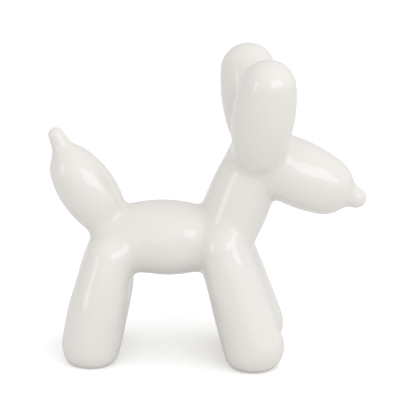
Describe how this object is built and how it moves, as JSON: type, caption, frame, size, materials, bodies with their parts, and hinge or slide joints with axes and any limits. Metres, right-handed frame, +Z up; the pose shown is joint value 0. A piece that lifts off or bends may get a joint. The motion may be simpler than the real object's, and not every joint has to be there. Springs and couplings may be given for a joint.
{
  "type": "balloon dog ornament",
  "caption": "Glossy warm white ceramic ornament of a standing dog twisted from long balloons, with upright ears, a drooping knotted snout and a pointed tail.",
  "frame": {"origin": "on the floor, under the middle of the dog's length and width", "axes": "+X towards the nose, +Y towards the dog's left side, +Z up"},
  "size_m": [0.1894, 0.0784, 0.1885],
  "materials": {
    "glaze": "gloss"
  },
  "bodies": {
    "root": {"balloon_dog": "glaze"}
  },
  "joints": []
}
